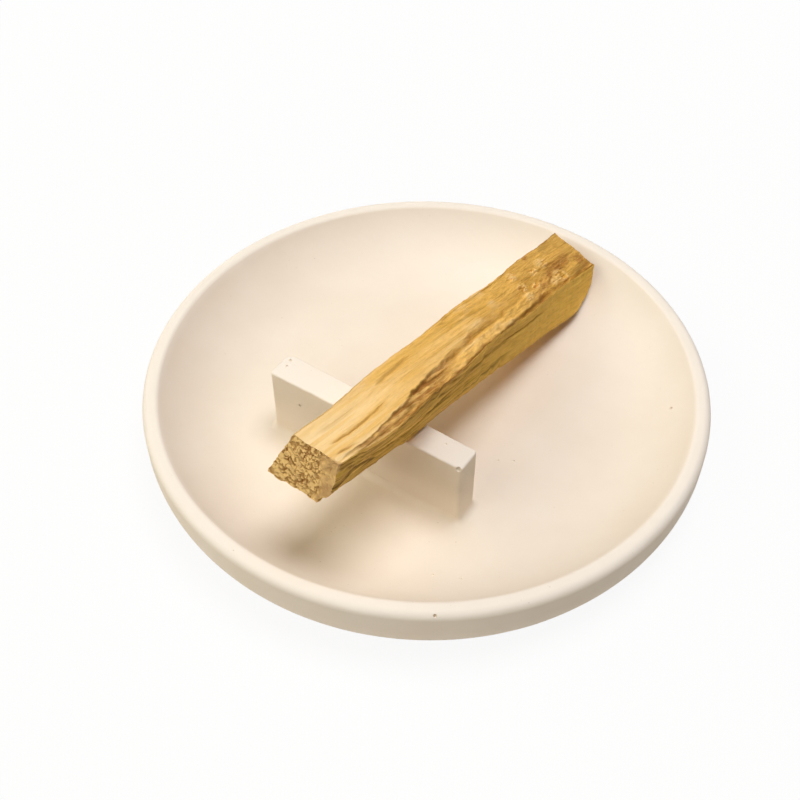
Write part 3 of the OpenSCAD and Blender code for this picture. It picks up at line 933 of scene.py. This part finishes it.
def riven_fields(places, loops):
    """Fields of the riven faces by name."""
    x, z = loops[..., 0], loops[..., 1]
    along = np.broadcast_to(places[:, None], x.shape)
    index = np.broadcast_to(np.arange(AROUND_STEPS), x.shape)
    top = index < TOP_STEPS
    right = (index >= TOP_STEPS) & (index < TOP_STEPS + SIDE_STEPS)
    under = (index >= TOP_STEPS + SIDE_STEPS) & (index < AROUND_STEPS - SIDE_STEPS)
    across = np.where(top, index/TOP_STEPS, np.where(right, (index - TOP_STEPS)/SIDE_STEPS, 0))
    f = {"along": along, "across": across, "top": top, "right": right, "under": under}
    for name, (width, length, seed) in GRAIN_NOISES.items():
        f[name] = layered_noise(x/width, along/length, z/width, seed)
    f["shred"] = 1 - np.abs(f["shred"])
    for name, (kind, begin, full, least) in PATCHES.items():
        f[name] = between(least, 1, ease(begin, full, f[kind]))
    for name, row in GRAIN_LINES.items():
        f[name] = grain_lines(x, along, z, *row)
    for name, ends in STRETCHES.items():
        f[name] = math.prod(ease(*ends[i:i + 2], along) for i in range(0, len(ends), 2))
    for name, (face, begin, full) in PARTS.items():
        f[name] = f[face]*ease(begin, full, across)
    for face, fields in (
        (top, split_field(f)), (top, torn_field(f)),
        (top, crack_field("top", f)), (right, crack_field("right", f)),
    ):
        f |= {name: face*field for name, field in fields.items()}
    f["red part"] = np.interp(along, RED_ALONG, RED_SHARE)
    f["far corner"] = bump(*FAR_CORNER, along)
    f["bulge"] = bump(*BULGE_DOWN, across)
    for name, rows in SUMS.items():
        f[name] = sum(products(f, rows))
    f["lined"] = np.where(top, f["lined top"], np.where(right, f["lined side"], LINED_ELSEWHERE))
    f["rough"] = np.where(top, np.minimum(f["rough top"], 1), ROUGH_ELSEWHERE)
    f["flecked"] = f["rough"] - KNOB_LOSS*f["knob"]
    return f


def products(f, rows):
    """Each row's number times the fields that it names."""
    return [number*math.prod(f[name] for name in names) for number, *names in rows]


def riven_relief(f):
    """How far each point stands out in mm. The top frays inwards only."""
    fray = FRAY*f["fray share"]*f["fray"]*f["frayed"]
    relief = sum(products(f, RELIEF)) + np.where(f["top"], np.minimum(fray, 0), fray)
    return np.where(f["under"], UNDER_RELIEF*np.minimum(relief, 0) + fray, relief)


def riven_marks(f):
    """Marks that the material reads, by name."""
    marks = {name: np.clip(np.maximum.reduce(products(f, rows)), 0, 1) for name, rows in MARKS.items()}
    marks["tone"] = np.interp(f["along"], TONE_ALONG, TONE_TOP) + sum(products(f, TONE))
    marks["flank"] = np.where(f["right"], 1.0, np.where(f["top"], 0.0, FLANK_ELSEWHERE))
    return marks


def end_noise(name, x, z, seed=0):
    """Named noise across a sawn end."""
    size, level, added, layers = END_NOISES[name]
    return layered_noise(x/size, z/size, level, seed + added, layers)


def cut_depth(x, z, seed):
    """Depth of the uneven saw cut in mm, at places of an end."""
    return np.maximum(0, CUT_DEPTH + CUT_SWING*end_noise("cut", x, z, seed))


def smooth_part(x, z):
    """Share of an end's smooth right part."""
    border = SMOOTH_FROM + SMOOTH_SWAY*end_noise("border", x, z)
    return ease(border, border + SMOOTH_BLEND, x)


def stick_skin():
    """Points of the riven faces, ring by ring, and their marks."""
    places = np.linspace(0, STICK_LEN, ALONG_STEPS + 1)
    loops, outward = stick_loops(places)
    fields = riven_fields(places, loops)
    skin = loops + outward*riven_relief(fields)[..., None]
    x, along, z = loops[..., 0], fields["along"], loops[..., 1]
    near_cut = ease(CUT_REACH, 0, along)*cut_depth(x, z, NEAR_SEED)
    far_cut = ease(STICK_LEN - CUT_REACH, STICK_LEN, along)*cut_depth(x, z, FAR_SEED)
    points = np.stack([skin[..., 0], along + near_cut - far_cut, skin[..., 1]], -1)
    return points, riven_marks(fields)


def sawn_end(ring, face, into, seed, grain):
    """Rings of a sawn end from its edge inwards, their pores, and its middle point."""
    middle = ring.mean(axis=0)
    shares = np.linspace(1, 0, CAP_STEPS + 1)[1:-1]
    points = middle + shares[:, None, None]*(ring - middle)
    x, z = points[..., 0], points[..., 2]
    patch = end_noise("patch", x, z, seed)
    bold = ease(*BOLD_SQUIGGLES, np.abs(end_noise("bold", x, z, seed)))*ease(*BOLD_PATCH, patch)
    fine = ease(*FINE_SQUIGGLES, np.abs(end_noise("fine", x, z, seed)))*ease(*FINE_PATCH, patch)
    smooth = smooth_part(x, z)
    holes = ease(*OPEN_HOLES, end_noise("holes", x, z, seed))
    pore = np.maximum(SQUIGGLE_SHARE*np.maximum(bold, FINE_SHARE*fine), holes)*between(*grain, smooth)
    dents = smooth*ease(*DENTED, end_noise("dents", x, z, seed))
    depth = ease(1, PLAIN_EDGE, shares)[:, None]*(PORE_DEPTH*pore + DENT_DEPTH*dents)
    points[..., 1] = face + into*(cut_depth(x, z, seed) + depth)
    middle[1] = face + into*cut_depth(middle[0], middle[2], seed)
    return points, pore, middle


def chipped_edge(skin):
    """Share of the near skin that is broken away and looks sawn."""
    x, along, z = np.moveaxis(skin, -1, 0)
    size = np.maximum(0, CHIP_SIZE + end_noise("chips", x, z))
    return ease(CHIP_END*size + HAIRLINE, CHIP_FULL*size, along)*ease(*CHIP_FROM, x)


def set_down(points):
    """Points of the stick set on the rest's back edge, dipped towards the foot."""
    dip, yaw = math.radians(STICK_DIP), math.radians(STICK_YAW)
    x, y, z = points[..., 0], points[..., 1] - OVERHANG, points[..., 2]
    along = y*math.cos(dip) + z*math.sin(dip)
    up = z*math.cos(dip) - y*math.sin(dip)
    return np.stack([
        STICK_X + x*math.cos(yaw) + along*math.sin(yaw),
        rest_face(STICK_X, BACK) + along*math.cos(yaw) - x*math.sin(yaw),
        REST_TOP + SEAT_GAP + up,
    ], -1)


def build_stick(material):
    """Riven stick: four riven faces and two sawn ends, in one closed mesh."""
    skin, marks = stick_skin()
    near, near_pore, near_middle = sawn_end(skin[0], 0, 1, NEAR_SEED, NEAR_GRAIN)
    far, far_pore, far_middle = sawn_end(skin[-1], STICK_LEN, -1, FAR_SEED, FAR_GRAIN)
    blocks = [near[::-1].reshape(-1, 3), skin.reshape(-1, 3), far.reshape(-1, 3)]
    points = np.concatenate(blocks + [near_middle[None], far_middle[None]])
    faces = capped_faces(len(near) + len(skin) + len(far), AROUND_STEPS)
    piece = new_piece("riven_stick", set_down(points), faces)

    on_ends = (near_pore.size, far_pore.size + 2)
    columns = {name: np.pad(values.ravel(), on_ends) for name, values in marks.items()}
    columns["sawn"] = np.pad(chipped_edge(skin).ravel(), on_ends, constant_values=1)
    no_pore = np.zeros(skin[..., 0].size)
    columns["pore"] = np.concatenate([near_pore[::-1].ravel(), no_pore, far_pore.ravel(), [0, 0]])
    x, z = points[:, 0], points[:, 2]
    tan = SMOOTH_TAN*smooth_part(x, z) + CLOUD_TAN*end_noise("clouds", x, z)
    columns["smooth_end"] = np.clip(tan, 0, 1)
    for name, values in columns.items():
        layer = piece.data.attributes.new(name, "FLOAT", "POINT")
        layer.data.foreach_set("value", values.astype(np.float32))
    layer = piece.data.attributes.new("grain", "FLOAT_VECTOR", "POINT")
    layer.data.foreach_set("vector", (points*MM).astype(np.float32).ravel())
    dress(piece, material, "stick", "palo_santo_stick")


# Stage: floor, surround, lamps and camera, in metres

FLOOR_SIDE = 3.0
FLOOR_DROP = 0.00002
FLOOR_COLOUR = (0.84, 0.81, 0.77)
FLOOR_ROUGHNESS = 0.9
WHITE = (1.0, 1.0, 1.0)
# How white the floor looks under the object, and where it turns all white
FLOOR_WHITE = 0.92
FLOOR_FADE = (0.12, 0.45)
SURROUND = 0.03
SURROUND_COLOUR = (1.0, 0.88, 0.70)
LAMP_REACH = 1.2
CLIP_START = 0.01
# Lamps: azimuth from +X and height in degrees, width, strength on a facing surface, colour
LAMPS = {
    "overhead": (62, 80, 0.7, 0.74, (1.0, 1.01, 1.09)),
    "left": (193, 34, 0.8, 0.23, (1.0, 0.95, 0.80)),
    "front": (251, 45, 0.8, 0.335, (1.0, 1.01, 0.93)),
}


def seen_share(tree):
    """1 for rays from the camera, a gloss or a clear surface, else 0."""
    rays = put(tree, "LightPath", {})
    seen = maths("ADD", rays.outputs["Is Camera Ray"], rays.outputs["Is Glossy Ray"])
    seen = maths("ADD", seen, rays.outputs["Is Transmission Ray"])
    return maths("MINIMUM", seen, 1.0)


def build_floor():
    """Pale floor that is seen as white and keeps the object's shadow."""
    half, low = FLOOR_SIDE/2/MM, -FLOOR_DROP/MM
    corners = [(-half, -half, low), (half, -half, low), (half, half, low), (-half, half, low)]
    floor = new_piece("floor", corners, [[0, 1, 2, 3]])
    material, tree, shader = new_material("floor_white")
    feed(shader, {"Base Color": FLOOR_COLOUR, "Roughness": FLOOR_ROUGHNESS})
    white = put(tree, "Emission", {"Color": WHITE, "Strength": 1.0})
    place = put(tree, "TexCoord", {}).outputs["Object"]
    whiteness = remap(length(place), *FLOOR_FADE, FLOOR_WHITE, 1.0)
    share = maths("MULTIPLY", seen_share(tree), whiteness)
    both = put(tree, "MixShader", {0: share, 1: shader.outputs[0], 2: white.outputs[0]})
    feed(tree.nodes["Material Output"], {"Surface": both.outputs[0]})
    floor.data.materials.append(material)


def build_surround():
    """Even dim light all round, seen as white."""
    world = bpy.data.worlds.new("surround")
    bpy.context.scene.world = world
    world.use_nodes = True
    seen = seen_share(world.node_tree)
    colour, strength = mix(seen, SURROUND_COLOUR, WHITE), remap(seen, 0, 1, SURROUND, 1.0)
    feed(world.node_tree.nodes["Background"], {"Color": colour, "Strength": strength})


def aimed(name, data, place, aim):
    """Lamp or camera at a place, turned towards its aim."""
    stand = bpy.data.objects.new(name, data)
    stand.location = place
    stand.rotation_euler = (aim - place).to_track_quat("-Z", "Y").to_euler()
    bpy.context.scene.collection.objects.link(stand)
    return stand


def build_lamps():
    """Soft lamps that look at the dish."""
    for name, (azimuth, height, across, strength, colour) in LAMPS.items():
        a, e = math.radians(azimuth), math.radians(height)
        towards = Vector((math.cos(a)*math.cos(e), math.sin(a)*math.cos(e), math.sin(e)))
        lamp = bpy.data.lights.new(name, "AREA")
        lamp.shape = "DISK"
        lamp.size = across
        lamp.color = colour
        lamp.energy = strength*(math.pi*LAMP_REACH)**2
        aimed(name, lamp, towards*LAMP_REACH, Vector())


def build_camera():
    """Camera at the photograph's place and lens."""
    camera = bpy.data.cameras.new("camera")
    camera.lens = CAMERA_LENS
    camera.sensor_width = SENSOR
    camera.clip_start = CLIP_START
    bpy.context.scene.camera = aimed("camera", camera, CAMERA_AT, CAMERA_AIM)


cast = cast_material()
build_dish(cast)
build_rest(cast)
build_bead(cast)
build_stick(wood_material())
build_floor()
build_surround()
build_lamps()
build_camera()
bpy.context.scene.view_settings.view_transform = "Standard"
